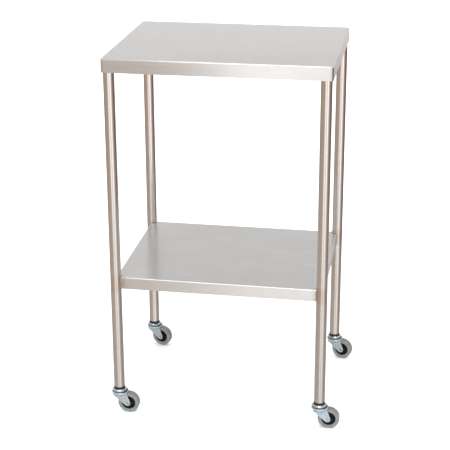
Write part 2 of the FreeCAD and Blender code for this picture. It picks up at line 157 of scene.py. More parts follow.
def turned(bm, section, sides, closed=True):
    """Turns a section, given as radius and height, round the Z axis. A radius of 0 closes the end."""
    rings = []
    for radius, height in section:
        if radius < 1e-7:
            rings.append([bm.verts.new((0, 0, height))] * sides)
            continue
        ring = []
        for index in range(sides):
            angle = math.tau * index / sides
            ring.append(bm.verts.new((radius * math.cos(angle), radius * math.sin(angle), height)))
        rings.append(ring)
    pairs = list(zip(rings, rings[1:] + rings[:1])) if closed else list(zip(rings, rings[1:]))
    for lower, upper in pairs:
        for index in range(sides):
            following = (index + 1) % sides
            around = [lower[index], lower[following], upper[following], upper[index]]
            corners = list(dict.fromkeys(around))
            if len(corners) > 2:
                bm.faces.new(corners)
    bmesh.ops.recalc_face_normals(bm, faces=bm.faces[:])


def finished_piece(name, bm, finish, body, nodes, sharp=28.0):
    """Makes a plain mesh piece in place, smooth except at its sharp edges, that rides on its body."""
    mesh = bpy.data.meshes.new(name)
    bm.to_mesh(mesh)
    bm.free()
    mesh.shade_smooth()
    mesh.set_sharp_from_angle(angle=math.radians(sharp))
    mesh.materials.append(finish)
    piece = bpy.data.objects.new(name, mesh)
    bpy.context.scene.collection.objects.link(piece)
    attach(piece, body)
    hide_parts(*nodes)
    return piece


def middle_of(node):
    """The middle of a node's box."""
    low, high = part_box(node)
    return (low + high) / 2


shelf_low, shelf_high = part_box("lower_shelf")
tube_finish = satin_tube(shelf_low.z, shelf_high.z)
leg_place = {corner: middle_of(f"leg_{corner}") for corner in CORNERS}
for corner in CORNERS:
    low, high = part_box(f"leg_{corner}")
    radius = (high.x - low.x) / 2
    bore = radius - LEG_WALL
    foot = low.z + LEG_BURR
    straight = high.z - LEG_BEVEL - low.z - LEG_BURR
    bm = bmesh.new()
    outside = [(radius, foot + straight * step / LEG_STEPS) for step in range(LEG_STEPS + 1)]
    section = outside + [(radius - LEG_BEVEL, high.z), (bore, high.z), (bore, foot)]
    section += [(bore + LEG_BURR, low.z), (radius - LEG_BURR, low.z)]
    turned(bm, section, LEG_SIDES)
    bmesh.ops.translate(bm, verts=bm.verts[:], vec=(leg_place[corner].x, leg_place[corner].y, 0))
    finished_piece(f"tube_{corner}", bm, tube_finish, "table", [f"leg_{corner}"])

# ---------------------------------------------------------------------------------------------
# The top
# One stainless sheet with its four edges folded down into skirts. The corners are welded up and
# ground round, and the whole face is brushed along its length.
# ---------------------------------------------------------------------------------------------

SHEET_GAUGE = 0.001
TOP_BEND = 0.004
TOP_CORNER = 0.008
BEND_STEPS = 8
CORNER_STEPS = 10
TOP_COLOUR = (0.680, 0.675, 0.668, 1)
TOP_SHADE = (0.640, 0.632, 0.622, 1)


def brushed_sheet(name, colour, shade, tint_places, tint_reach):
    """Sheet brushed along its length, laid out on its own UV map, whose first axis is the grain."""
    finish, tree, shader, place = new_finish(name)
    laid_flat = node_of(tree, "ShaderNodeUVMap", uv_map="grain").outputs[0]
    lines = stretched_noise(tree, laid_flat, (12, 3600, 1), detail=4)
    streaks = stretched_noise(tree, laid_flat, (3, 900, 1), detail=3)
    clouds = stretched_noise(tree, place, (5, 9, 9), detail=3)
    handled = stretched_noise(tree, place, (13, 31, 23), detail=2)
    share = maths(
        tree, "ADD", maths(tree, "MULTIPLY", streaks, 0.4), maths(tree, "MULTIPLY", clouds, 0.6)
    )
    colour = blended(tree, between(tree, share, 0.35, 0.65, 0.0, 0.5), colour, shade)
    if tint_places is not None:
        mirrored = node_of(tree, "ShaderNodeVectorMath", {0: place}, operation="ABSOLUTE").outputs[0]
        flat = node_of(
            tree, "ShaderNodeVectorMath", {0: mirrored, 1: (1, 1, 0)}, operation="MULTIPLY"
        ).outputs[0]
        away = node_of(
            tree, "ShaderNodeVectorMath", {0: flat, 1: tint_places}, operation="DISTANCE"
        ).outputs["Value"]
        uneven = maths(tree, "MULTIPLY", maths(tree, "SUBTRACT", handled, 0.5), 0.02)
        ragged = maths(tree, "ADD", away, uneven)
        heat = between(tree, ragged, tint_reach[0], tint_reach[1], 0.55, 0.0)
        colour = blended(tree, heat, colour, HEAT_TINT)
    tree.links.new(colour, shader.inputs["Base Color"])
    rough = maths(
        tree,
        "ADD",
        between(tree, lines, 0.3, 0.7, 0.20, 0.28),
        between(tree, handled, 0.58, 0.8, 0.0, 0.015),
    )
    tree.links.new(rough, shader.inputs["Roughness"])
    shader.inputs["Metallic"].default_value = 1.0
    shader.inputs["Anisotropic"].default_value = 0.92
    shader.inputs["Anisotropic Rotation"].default_value = 0.25
    along = node_of(tree, "ShaderNodeTangent", direction_type="UV_MAP", uv_map="grain")
    tree.links.new(along.outputs[0], shader.inputs["Tangent"])
    bumped(tree, shader, lines, 0.000006)
    bumped(tree, shader, stretched_noise(tree, place, (4, 5, 5), detail=1), 0.0001)
    return finish


def lay_out_grain(bm, middle):
    """A UV map in metres as if the folded sheet were flat again, its first axis along the grain."""
    grain = bm.loops.layers.uv.new("grain")
    for face in bm.faces:
        normal = face.normal
        for loop in face.loops:
            at = loop.vert.co - middle
            if abs(normal.z) >= max(abs(normal.x), abs(normal.y)):
                loop[grain].uv = (at.x, at.y)
            elif abs(normal.y) >= abs(normal.x):
                loop[grain].uv = (at.x, at.z)
            else:
                loop[grain].uv = (at.z, at.y)


def rounded_outline(half_x, half_y, corner, steps):
    """The corners of a rounded rectangle, going round from the back right corner."""
    points = []
    for quarter, (side_x, side_y) in enumerate(((1, 1), (-1, 1), (-1, -1), (1, -1))):
        for step in range(steps + 1):
            angle = math.radians(90 * (quarter + step / steps))
            points.append(
                (
                    side_x * (half_x - corner) + corner * math.cos(angle),
                    side_y * (half_y - corner) + corner * math.sin(angle),
                )
            )
    return points


def folded_section(height, skirt, bend, gauge, steps):
    """How far in, and how high, each line of the folded sheet lies, from its face to its underside."""
    section = []
    for step in range(steps + 1):
        angle = math.radians(90 * step / steps)
        section.append((bend * (1 - math.sin(angle)), height - bend * (1 - math.cos(angle))))
    burr = gauge * 0.3
    section += [(0.0, height - skirt * 0.5), (0.0, height - skirt + burr)]
    section += [(burr, height - skirt), (gauge - burr, height - skirt), (gauge, height - skirt + burr)]
    inner = bend - gauge
    for step in range(steps, -1, -1):
        angle = math.radians(90 * step / steps)
        section.append((bend - inner * math.sin(angle), height - bend + inner * math.cos(angle)))
    return section


top_low, top_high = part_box("table_top")
bm = bmesh.new()
rings = []
for inset, z in folded_section(top_high.z, top_high.z - top_low.z, TOP_BEND, SHEET_GAUGE, BEND_STEPS):
    outline = rounded_outline(top_high.x - inset, top_high.y - inset, TOP_CORNER - inset, CORNER_STEPS)
    rings.append([bm.verts.new((x, y, z)) for x, y in outline])
for outer, inner in zip(rings, rings[1:]):
    for index in range(len(outer)):
        following = (index + 1) % len(outer)
        bm.faces.new((outer[index], outer[following], inner[following], inner[index]))
bm.faces.new(rings[0])
bm.faces.new(rings[-1])
bmesh.ops.recalc_face_normals(bm, faces=bm.faces[:])
lay_out_grain(bm, Vector((0, 0, top_high.z)))
top_finish = brushed_sheet("brushed_top", TOP_COLOUR, TOP_SHADE, None, None)
finished_piece("folded_top", bm, top_finish, "table", ["table_top"])

# ---------------------------------------------------------------------------------------------
# The lower shelf
# A smaller sheet folded the same way and notched round the legs. It is welded to them, and the
# welds leave a straw tint on its corners and the ends of its skirts.
# ---------------------------------------------------------------------------------------------

SHELF_COLOUR = (0.672, 0.664, 0.655, 1)
SHELF_SHADE = (0.615, 0.605, 0.595, 1)
TINT_REACH = (0.012, 0.024)


def joined_copy(node):
    """The node's triangles joined into one skin, with the true normals of its surfaces kept."""
    source = frame["nodes"][node].data
    bm = bmesh.new()
    bm.from_mesh(source)
    true_normal = bm.loops.layers.float_vector.new("true_normal")
    for face, polygon in zip(bm.faces, source.polygons):
        for loop, corner in zip(face.loops, polygon.loop_indices):
            loop[true_normal] = source.corner_normals[corner].vector
    bmesh.ops.remove_doubles(bm, verts=bm.verts[:], dist=1e-6)
    return bm


def keep_true_normals(piece):
    """Gives a finished piece the normals that were carried over with its triangles."""
    mesh = piece.data
    normals = [Vector(corner.vector).normalized() for corner in mesh.attributes["true_normal"].data]
    mesh.attributes.remove(mesh.attributes["true_normal"])
    mesh.normals_split_custom_set(normals)


bm = joined_copy("lower_shelf")
lay_out_grain(bm, Vector((0, 0, shelf_high.z)))
leg_at = leg_place["back_right"]
shelf_finish = brushed_sheet(
    "brushed_shelf", SHELF_COLOUR, SHELF_SHADE, (leg_at.x, leg_at.y, 0), TINT_REACH
)
shelf = finished_piece("folded_shelf", bm, shelf_finish, "table", ["lower_shelf"])
keep_true_normals(shelf)

# ---------------------------------------------------------------------------------------------
# The stiffening channels
# A hat section folded from the same sheet and welded under the top and under the shelf. They are
# out of sight, so they keep the dull finish that the mill gave the sheet.
# ---------------------------------------------------------------------------------------------


def mill_sheet():
    """Stainless sheet as it leaves the mill, dull and a little cloudy."""
    finish, tree, shader, place = new_finish("mill_sheet")
    rolled = stretched_noise(tree, place, (40, 600, 600), detail=3)
    clouds = stretched_noise(tree, place, (9, 18, 18), detail=3)
    shade = blended(
        tree, between(tree, clouds, 0.3, 0.7, 0.0, 1.0), (0.58, 0.575, 0.565, 1), (0.49, 0.485, 0.48, 1)
    )
    tree.links.new(shade, shader.inputs["Base Color"])
    tree.links.new(between(tree, rolled, 0.3, 0.7, 0.34, 0.46), shader.inputs["Roughness"])
    shader.inputs["Metallic"].default_value = 1.0
    bumped(tree, shader, rolled, 0.00002)
    return finish


def refinish(finish, *nodes):
    """Gives parts whose shape is already right their real finish."""
    for node in nodes:
        mesh = frame["nodes"][node].data
        mesh.materials.clear()
        mesh.materials.append(finish)


refinish(mill_sheet(), "top_stiffener", "shelf_stiffener")

# ---------------------------------------------------------------------------------------------
# The welds
# Small beads run by hand: one inside each leg under the top, one round each leg on the shelf, and
# one down each seam where a skirt of the shelf meets a leg. Each is a row of overlapping ripples.
# ---------------------------------------------------------------------------------------------

RIPPLE_PITCH = 0.0009
RIPPLE_SIZE = 0.0015
TOP_WELD_DROP = 0.0010
SHELF_WELD_RISE = 0.0007
TOP_WELD_SPREAD = 180
SHELF_WELD_SPREAD = 60
WELD_STEPS = 24


def weld_metal():
    """Weld metal, rippled and tinted from straw to a dull blue by its own heat."""
    finish, tree, shader, place = new_finish("weld_metal")
    heat = stretched_noise(tree, place, (160, 160, 160), detail=2)
    straw = blended(
        tree, between(tree, heat, 0.35, 0.6, 0.0, 1.0), (0.55, 0.53, 0.50, 1), (0.46, 0.38, 0.29, 1)
    )
    tint = blended(tree, between(tree, heat, 0.58, 0.75, 0.0, 0.6), straw, (0.30, 0.29, 0.33, 1))
    tree.links.new(tint, shader.inputs["Base Color"])
    tree.links.new(between(tree, heat, 0.3, 0.7, 0.26, 0.42), shader.inputs["Roughness"])
    shader.inputs["Metallic"].default_value = 1.0
    return finish


def node_group(name, inputs):
    """An empty tree of geometry nodes, with a socket for each named input."""
    group = bpy.data.node_groups.new(name, "GeometryNodeTree")
    group.is_modifier = True
    for label, kind in inputs:
        group.interface.new_socket(label, in_out="INPUT", socket_type=kind)
    group.interface.new_socket("Geometry", in_out="OUTPUT", socket_type="NodeSocketGeometry")
    return group, group.nodes.new("NodeGroupInput"), group.nodes.new("NodeGroupOutput")


def ripple_tree():
    """Ripples set along every line of a path, each turned to it and a little unlike the next."""
    group, given, result = node_group(
        "run of weld ripples",
        (
            ("Path", "NodeSocketGeometry"),
            ("Pitch", "NodeSocketFloat"),
            ("Size", "NodeSocketFloat"),
            ("Seed", "NodeSocketInt"),
            ("Finish", "NodeSocketMaterial"),
        ),
    )
    spots = node_of(
        group,
        "GeometryNodeCurveToPoints",
        {"Curve": given.outputs["Path"], "Length": given.outputs["Pitch"]},
        mode="LENGTH",
    )
    ripple = node_of(
        group, "GeometryNodeMeshUVSphere", {"Segments": 10, "Rings": 6, "Radius": given.outputs["Size"]}
    )
    drawn_up = node_of(
        group, "GeometryNodeTransform", {"Geometry": ripple.outputs["Mesh"], "Scale": (1.0, 1.0, 0.6)}
    )
    unlike = node_of(
        group, "FunctionNodeRandomValue", {2: 0.86, 3: 1.08, "Seed": given.outputs["Seed"]}, data_type="FLOAT"
    )
    placed = node_of(
        group,
        "GeometryNodeInstanceOnPoints",
        {
            "Points": spots.outputs["Points"],
            "Instance": drawn_up.outputs[0],
            "Rotation": spots.outputs["Rotation"],
            "Scale": unlike.outputs[1],
        },
    )
    real = node_of(group, "GeometryNodeRealizeInstances", {0: placed.outputs[0]})
    faced = node_of(
        group, "GeometryNodeSetMaterial", {0: real.outputs[0], "Material": given.outputs["Finish"]}
    )
    group.links.new(faced.outputs[0], result.inputs[0])
    return group


def grown(host, group, **settings):
    """The plain mesh that a tree of geometry nodes makes on a host with these inputs."""
    modifier = host.modifiers.new("nodes", "NODES")
    modifier.node_group = group
    for item in group.interface.items_tree:
        if item.in_out == "INPUT" and item.name.lower().replace(" ", "_") in settings:
            modifier[item.identifier] = settings[item.name.lower().replace(" ", "_")]
    bpy.context.scene.collection.objects.link(host)
    bpy.context.view_layer.update()
    mesh = bpy.data.meshes.new_from_object(host.evaluated_get(bpy.context.evaluated_depsgraph_get()))
    bpy.data.objects.remove(host)
    return mesh


def lines_of(name, runs):
    """A curve object of straight pieces through each run of points."""
    path = bpy.data.curves.new(name, "CURVE")
    path.dimensions = "3D"
    for run in runs:
        spline = path.splines.new("POLY")
        spline.points.add(len(run) - 1)
        for point, at in zip(spline.points, run):
            point.co = (*at, 1)
    return bpy.data.objects.new(name, path)


def arc_round_leg(corner, radius, height, spread):
    """Points round a leg, over a spread in degrees about the diagonal towards the table's middle."""
    at = leg_place[corner]
    inwards = math.atan2(math.copysign(1, -at.y), math.copysign(1, -at.x))
    points = []
    for step in range(WELD_STEPS + 1):
        angle = inwards + math.radians(spread * (step / WELD_STEPS - 0.5))
        points.append((at.x + radius * math.cos(angle), at.y + radius * math.sin(angle), height))
    return points


def whole_piece(name, mesh, body, slot, *nodes):
    """A finished mesh made a piece that rides on its body and stands for its nodes."""
    mesh.name = name
    piece = bpy.data.objects.new(name, mesh)
    bpy.context.scene.collection.objects.link(piece)
    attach(piece, body)
    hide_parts(*nodes)
    return piece


leg_radius = (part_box("leg_back_right")[1].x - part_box("leg_back_right")[0].x) / 2
under_top = top_high.z - SHEET_GAUGE
weld_finish = weld_metal()
ripples = ripple_tree()
top_runs = [
    arc_round_leg(corner, leg_radius + 0.0003, under_top - TOP_WELD_DROP, TOP_WELD_SPREAD)
    for corner in CORNERS
]
shelf_runs = []
for corner in CORNERS:
    at = leg_place[corner]
    side_x, side_y = math.copysign(1, at.x), math.copysign(1, at.y)
    over_shelf = shelf_high.z + SHELF_WELD_RISE
    shelf_runs.append(arc_round_leg(corner, leg_radius + 0.0004, over_shelf, SHELF_WELD_SPREAD))
    seam_top, seam_foot = shelf_high.z - 0.004, shelf_low.z + 0.0016
    long_seam = (at.x - side_x * (leg_radius + 0.0002), at.y + side_y * 0.0001)
    short_seam = (at.x + side_x * 0.0001, at.y - side_y * (leg_radius + 0.0002))
    for x, y in (long_seam, short_seam):
        shelf_runs.append([(x, y, seam_foot), (x, y, (seam_foot + seam_top) / 2), (x, y, seam_top)])
for name, runs, node, seed in (
    ("top_welds", top_runs, "top_weld_beads", 3),
    ("shelf_welds", shelf_runs, "shelf_weld_beads", 8),
):
    mesh = grown(
        lines_of(name, runs), ripples, pitch=RIPPLE_PITCH, size=RIPPLE_SIZE, seed=seed, finish=weld_finish
    )
    mesh.shade_smooth()
    whole_piece(name, mesh, "table", "weld_bead", node)

# ---------------------------------------------------------------------------------------------
# The plugs in the legs
# A black nylon plug is pressed into the foot of each leg. Its flange shows as a dark band under
# the tube, and the caster's steel stem stands in it.
# ---------------------------------------------------------------------------------------------


def black_nylon():
    """Matt black nylon with a little pale dust."""
    finish, tree, shader, place = new_finish("black_nylon")
    grain = stretched_noise(tree, place, (1500, 1500, 1500), detail=2)
    dust = stretched_noise(tree, place, (120, 120, 240), detail=3)
    shade = blended(
        tree, between(tree, dust, 0.5, 0.8, 0.0, 0.5), (0.007, 0.0065, 0.008, 1), (0.026, 0.023, 0.024, 1)
    )
    tree.links.new(shade, shader.inputs["Base Color"])
    tree.links.new(between(tree, dust, 0.3, 0.7, 0.38, 0.52), shader.inputs["Roughness"])
    bumped(tree, shader, grain, 0.00003)
    return finish


def turned_steel():
    """Bright steel off the lathe, for the pins, sleeves and balls."""
    finish, tree, shader, place = new_finish("turned_steel")
    rings = stretched_noise(tree, place, (50, 50, 2600), detail=2)
    oil_and_race_shade = stretched_noise(tree, place, (260, 260, 260), detail=2)
    shade = blended(
        tree, between(tree, oil_and_race_shade, 0.45, 0.75, 0.0, 0.6), (0.60, 0.59, 0.58, 1), (0.40, 0.37, 0.33, 1)
    )
    tree.links.new(shade, shader.inputs["Base Color"])
    tree.links.new(between(tree, rings, 0.3, 0.7, 0.12, 0.22), shader.inputs["Roughness"])
    shader.inputs["Metallic"].default_value = 1.0
    return finish


nylon_finish = black_nylon()
steel_finish = turned_steel()
for corner in CORNERS:
    refinish(nylon_finish, f"insert_{corner}")
    refinish(steel_finish, f"kingpin_{corner}")

# ---------------------------------------------------------------------------------------------
# The swivel bearings
# A pressed cap holds a ring of larger balls on the crown of the fork, and a washer riveted on the
# kingpin holds a ring of smaller ones under it. The pressings are zinc plated, and passivated blue.
# ---------------------------------------------------------------------------------------------

ZINC_COLOUR = (0.49, 0.57, 0.61, 1)
ZINC_DULL = (0.365, 0.43, 0.465, 1)
# colour of the painted shade line in the gap where the cap sits on the fork's crown
RACE_SHADE_COLOUR = (0.035, 0.032, 0.030, 1)
BALL_COUNTS = (("upper", 13), ("lower", 12))


def zinc_plate(name, smooth, rough, brightness, race_height):
    """Zinc plating with the faint blotches of its passivation, and a painted shade line round the ball race.
    """
    finish, tree, shader, place = new_finish(name)
    blotches = stretched_noise(tree, place, (210, 210, 210), detail=4)
    peel = stretched_noise(tree, place, (1100, 1100, 1100), detail=2)
    cells = node_of(tree, "ShaderNodeTexVoronoi", {"Vector": place, "Scale": 420.0})
    flecks = between(tree, cells.outputs["Distance"], 0.1, 0.7, 0.0, 1.0)
    share = maths(
        tree, "ADD", maths(tree, "MULTIPLY", blotches, 0.75), maths(tree, "MULTIPLY", flecks, 0.2)
    )
    shade = blended(tree, between(tree, share, 0.35, 0.75, 0.0, 1.0), ZINC_COLOUR, ZINC_DULL)
    height = node_of(tree, "ShaderNodeSeparateXYZ", {0: place}).outputs["Z"]
    # painted shade: a dark band at the race height, in the gap between the cap and the crown, darkening both
    # pressings there
    from_race = maths(tree, "ABSOLUTE", maths(tree, "SUBTRACT", height, race_height))
    oil_and_race_shade = maths(
        tree,
        "MULTIPLY",
        between(tree, from_race, 0.0008, 0.0013, 0.95, 0.0),
        between(tree, blotches, 0.3, 0.6, 0.75, 1.0),
    )
    tree.links.new(blended(tree, oil_and_race_shade, shade, RACE_SHADE_COLOUR), shader.inputs["Base Color"])
    tree.links.new(between(tree, blotches, 0.3, 0.7, smooth, rough), shader.inputs["Roughness"])
    shader.inputs["Metallic"].default_value = brightness
    bumped(tree, shader, peel, 0.00002)
    return finish


def ball_tree():
    """A ring of balls round the Z axis."""
    group, given, result = node_group(
        "ring of balls",
        (
            ("Host", "NodeSocketGeometry"),
            ("Count", "NodeSocketInt"),
            ("Race", "NodeSocketFloat"),
            ("Ball", "NodeSocketFloat"),
            ("Finish", "NodeSocketMaterial"),
        ),
    )
    ring = node_of(
        group, "GeometryNodeMeshCircle", {"Vertices": given.outputs["Count"], "Radius": given.outputs["Race"]}
    )
    ball = node_of(
        group, "GeometryNodeMeshIcoSphere", {"Radius": given.outputs["Ball"], "Subdivisions": 4}
    )
    placed = node_of(
        group, "GeometryNodeInstanceOnPoints", {"Points": ring.outputs[0], "Instance": ball.outputs[0]}
    )
    real = node_of(group, "GeometryNodeRealizeInstances", {0: placed.outputs[0]})
    faced = node_of(
        group, "GeometryNodeSetMaterial", {0: real.outputs[0], "Material": given.outputs["Finish"]}
    )
    group.links.new(faced.outputs[0], result.inputs[0])
    return group


balls_in = ball_tree()
race_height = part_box("race_cap_front_left")[0].z + 0.0001
cap_finish = zinc_plate("bright_zinc_cap", 0.10, 0.16, 0.88, race_height)
zinc_finish = zinc_plate("zinc_plate", 0.20, 0.30, 0.62, race_height)
for corner in CORNERS:
    refinish(cap_finish, f"race_cap_{corner}")
    refinish(zinc_finish, f"lower_washer_{corner}")
    for row, count in BALL_COUNTS:
        low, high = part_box(f"{row}_balls_{corner}")
        ball = (high.z - low.z) / 2
        race = max(high.x - low.x, high.y - low.y) / 2 - ball
        host = bpy.data.objects.new("host", bpy.data.meshes.new("host"))
        mesh = grown(host, balls_in, count=count, race=race, ball=ball, finish=steel_finish)
        mesh.transform(Matrix.Translation((leg_place[corner].x, leg_place[corner].y, (low.z + high.z) / 2)))
        mesh.shade_smooth()
        whole_piece(
            f"{row}_ball_ring_{corner}", mesh, f"swivel_{corner}", "bearing_steel", f"{row}_balls_{corner}"
        )

# ---------------------------------------------------------------------------------------------
# The forks and the axles
# Each fork is one zinc plated stamping, a round crown drawn down into two cheeks. The wheel turns
# on a steel sleeve between them, held by a bolt with a low domed head and a nut.
# ---------------------------------------------------------------------------------------------

NUT_FLATS = 0.010
NUT_BORE = 0.00305
NUT_CHAMFER = 0.0006
NUT_SIDES = 72
NUT_TURNED_OFF = 0.97

for corner in CORNERS:
    refinish(zinc_finish, f"fork_{corner}")
    refinish(steel_finish, f"axle_{corner}", f"spanner_{corner}")

# each wheel's middle and the frame that turns its axle from Z to its real direction
wheel_middle = {}
wheel_frame = {}
for joint in frame["joints"]:
    if joint["name"].startswith("wheel_roll_"):
        corner = joint["name"].removeprefix("wheel_roll_")
        axle_way = Vector(joint["axis"]).normalized()
        wheel_middle[corner] = Vector(joint["pos_m"])
        across = axle_way.cross(Vector((0, 0, 1))).normalized()
        turned_to = Matrix((across, axle_way.cross(across), axle_way)).transposed().to_4x4()
        wheel_frame[corner] = Matrix.Translation(wheel_middle[corner]) @ turned_to


def hex_nut(bm, flats, low, high, bore):
    """A hexagon nut along Z, its corners turned off at both ends and its bore open."""
    levels = (
        (low, 0.0),
        (low + NUT_CHAMFER / 2, 0.5),
        (low + NUT_CHAMFER, 1.0),
        (high - NUT_CHAMFER, 1.0),
        (high - NUT_CHAMFER / 2, 0.5),
        (high, 0.0),
    )
    rings = []
    for height, share in levels:
        turned_off = flats / 2 * (NUT_TURNED_OFF + share * (2 / math.sqrt(3) - NUT_TURNED_OFF))
        ring = []
        for index in range(NUT_SIDES):
            angle = math.tau * index / NUT_SIDES
            from_flat = (angle + math.pi / 6) % (math.pi / 3) - math.pi / 6
            reach = min(flats / 2 / math.cos(from_flat), turned_off)
            ring.append(bm.verts.new((reach * math.cos(angle), reach * math.sin(angle), height)))
        rings.append(ring)
    for height in (high, low):
        ring = []
        for index in range(NUT_SIDES):
            angle = math.tau * index / NUT_SIDES
            ring.append(bm.verts.new((bore * math.cos(angle), bore * math.sin(angle), height)))
        rings.append(ring)
    for first, second in zip(rings, rings[1:] + rings[:1]):
        for index in range(NUT_SIDES):
            following = (index + 1) % NUT_SIDES
            bm.faces.new((first[index], first[following], second[following], second[index]))
    bmesh.ops.recalc_face_normals(bm, faces=bm.faces[:])


def along_axle(node, corner):
    """How far a node reaches each way along its wheel's axle, from the wheel's middle."""
    axle_way = wheel_frame[corner].to_3x3() @ Vector((0, 0, 1))
    reach = [(v.co - wheel_middle[corner]).dot(axle_way) for v in frame["nodes"][node].data.vertices]
    return min(reach), max(reach)


for corner in CORNERS:
    low, high = along_axle(f"axle_nut_{corner}", corner)
    bm = bmesh.new()
    hex_nut(bm, NUT_FLATS, low, high, NUT_BORE)
    bmesh.ops.transform(bm, matrix=wheel_frame[corner], verts=bm.verts[:])
    finished_piece(
        f"hex_nut_{corner}", bm, zinc_finish, f"swivel_{corner}", [f"axle_nut_{corner}"]
    )

# ---------------------------------------------------------------------------------------------
# The wheels
# A black moulded hub with a rim, a web and ribs, and a grey rubber tyre moulded on to it. The
# tread is crowned, carries a fine mould line, and is browner than the sides from floor dirt.
# ---------------------------------------------------------------------------------------------

WHEEL_SIDES = 96
HUB_BORE = 0.00456
HUB_BOSS = 0.0075
HUB_WEB = 0.0030
HUB_RIM = 0.0065
RIM_WALL = 0.0024
HUB_EASE = 0.0005
RIB_COUNT = 8
RIB_THICKNESS = 0.0014
TYRE_SHOULDER = 0.0024
TYRE_SHOULDER_RISE = 0.0023
TYRE_SIDE_DISH = 0.0003
SHOULDER_STEPS = 8


def grey_rubber():
    """Grey rubber, cloudy at the sides and dirty where the tread value is 1."""
    finish, tree, shader, place = new_finish("grey_rubber")
    specks = stretched_noise(tree, place, (900, 900, 900), detail=3)
    clouds = stretched_noise(tree, place, (90, 90, 90), detail=3)
    tread = node_of(tree, "ShaderNodeAttribute", attribute_name="tread").outputs["Fac"]
    side = blended(
        tree, between(tree, clouds, 0.3, 0.7, 0.0, 1.0), (0.195, 0.222, 0.225, 1), (0.165, 0.185, 0.185, 1)
    )
    worn = blended(
        tree, between(tree, clouds, 0.35, 0.65, 0.0, 1.0), (0.185, 0.172, 0.152, 1), (0.130, 0.118, 0.102, 1)
    )
    dirt = maths(tree, "MULTIPLY", tread, between(tree, specks, 0.2, 0.6, 0.6, 1.0))
    tree.links.new(blended(tree, dirt, side, worn), shader.inputs["Base Color"])
    tree.links.new(between(tree, specks, 0.3, 0.7, 0.58, 0.76), shader.inputs["Roughness"])
    bumped(tree, shader, specks, 0.00004)
    return finish


def black_moulding():
    """Black moulded plastic with a fine grain and a few scuffs."""
    finish, tree, shader, place = new_finish("black_moulding")
    grain = stretched_noise(tree, place, (1300, 1300, 1300), detail=2)
    scuffs = stretched_noise(tree, place, (160, 160, 160), detail=3)
    shade = blended(
        tree, between(tree, scuffs, 0.5, 0.8, 0.0, 0.5), (0.003, 0.0045, 0.009, 1), (0.011, 0.014, 0.024, 1)
    )
    shader.inputs["Specular IOR Level"].default_value = 0.3
    tree.links.new(shade, shader.inputs["Base Color"])
    tree.links.new(between(tree, scuffs, 0.3, 0.7, 0.33, 0.48), shader.inputs["Roughness"])
    bumped(tree, shader, grain, 0.00002)
    return finish


def rib_tree():
    """Flat ribs standing on the web, set evenly round the hub."""
    group, given, result = node_group(
        "hub ribs",
        (
            ("Host", "NodeSocketGeometry"),
            ("Count", "NodeSocketInt"),
            ("Inner", "NodeSocketFloat"),
            ("Length", "NodeSocketFloat"),
            ("Height", "NodeSocketFloat"),
            ("Thickness", "NodeSocketFloat"),
            ("Finish", "NodeSocketMaterial"),
        ),
    )
    size = node_of(
        group,
        "ShaderNodeCombineXYZ",
        {0: given.outputs["Length"], 1: given.outputs["Thickness"], 2: given.outputs["Height"]},
    )
    rib = node_of(group, "GeometryNodeMeshCube", {"Size": size.outputs[0]})
    half = node_of(group, "ShaderNodeMath", {0: given.outputs["Length"], 1: 0.5}, operation="MULTIPLY")
    reach = node_of(group, "ShaderNodeMath", {0: half.outputs[0], 1: given.outputs["Inner"]}, operation="ADD")
    out_to = node_of(group, "ShaderNodeCombineXYZ", {0: reach.outputs[0]})
    shifted = node_of(
        group, "GeometryNodeTransform", {"Geometry": rib.outputs[0], "Translation": out_to.outputs[0]}
    )
    ring = node_of(group, "GeometryNodeMeshCircle", {"Vertices": given.outputs["Count"], "Radius": 0.001})
    number = group.nodes.new("GeometryNodeInputIndex")
    step = node_of(group, "ShaderNodeMath", {0: math.tau, 1: given.outputs["Count"]}, operation="DIVIDE")
    angle = node_of(group, "ShaderNodeMath", {0: number.outputs[0], 1: step.outputs[0]}, operation="MULTIPLY")
    spin = node_of(group, "ShaderNodeCombineXYZ", {2: angle.outputs[0]})
    gathered = node_of(group, "GeometryNodeSetPosition", {"Geometry": ring.outputs[0], "Position": (0, 0, 0)})
    placed = node_of(
        group,
        "GeometryNodeInstanceOnPoints",
        {"Points": gathered.outputs[0], "Instance": shifted.outputs[0], "Rotation": spin.outputs[0]},
    )
    real = node_of(group, "GeometryNodeRealizeInstances", {0: placed.outputs[0]})
    faced = node_of(
        group, "GeometryNodeSetMaterial", {0: real.outputs[0], "Material": given.outputs["Finish"]}
    )
    group.links.new(faced.outputs[0], result.inputs[0])
    return group


def eased(corners, radius):
    """A closed section whose corners are cut back twice, so that its edges are a little round."""
    softened = []
    for index, (r, z) in enumerate(corners):
        here = Vector((r, z))
        before = Vector(corners[index - 1])
        after = Vector(corners[(index + 1) % len(corners)])
        first = here + (before - here).normalized() * min(radius, (before - here).length * 0.45)
        last = here + (after - here).normalized() * min(radius, (after - here).length * 0.45)
        softened += [first, (first + last + 2 * here) / 4, last]
    return [(point.x, point.y) for point in softened]


def tyre_section(bore, outer, half):
    """The tyre's section from its bore at one side, over the crowned tread, to the other side."""
    dished = half - TYRE_SIDE_DISH
    one_side = [(bore, half), (bore + 0.0006, half), (bore + 0.0010, dished)]
    one_side += [(outer - 0.0052, dished), (outer - 0.0048, half), (outer - TYRE_SHOULDER, half)]
    for step in range(1, SHOULDER_STEPS + 1):
        angle = math.radians(90 * step / SHOULDER_STEPS)
        out_to = outer - TYRE_SHOULDER + TYRE_SHOULDER_RISE * math.sin(angle)
        one_side.append((out_to, half - TYRE_SHOULDER + TYRE_SHOULDER * math.cos(angle)))
    one_side += [(outer - 0.00005, half * 0.4), (outer - 0.00002, 0.0003), (outer, 0.00012)]
    other = [(r, -z) for r, z in reversed(one_side)]
    return one_side + other


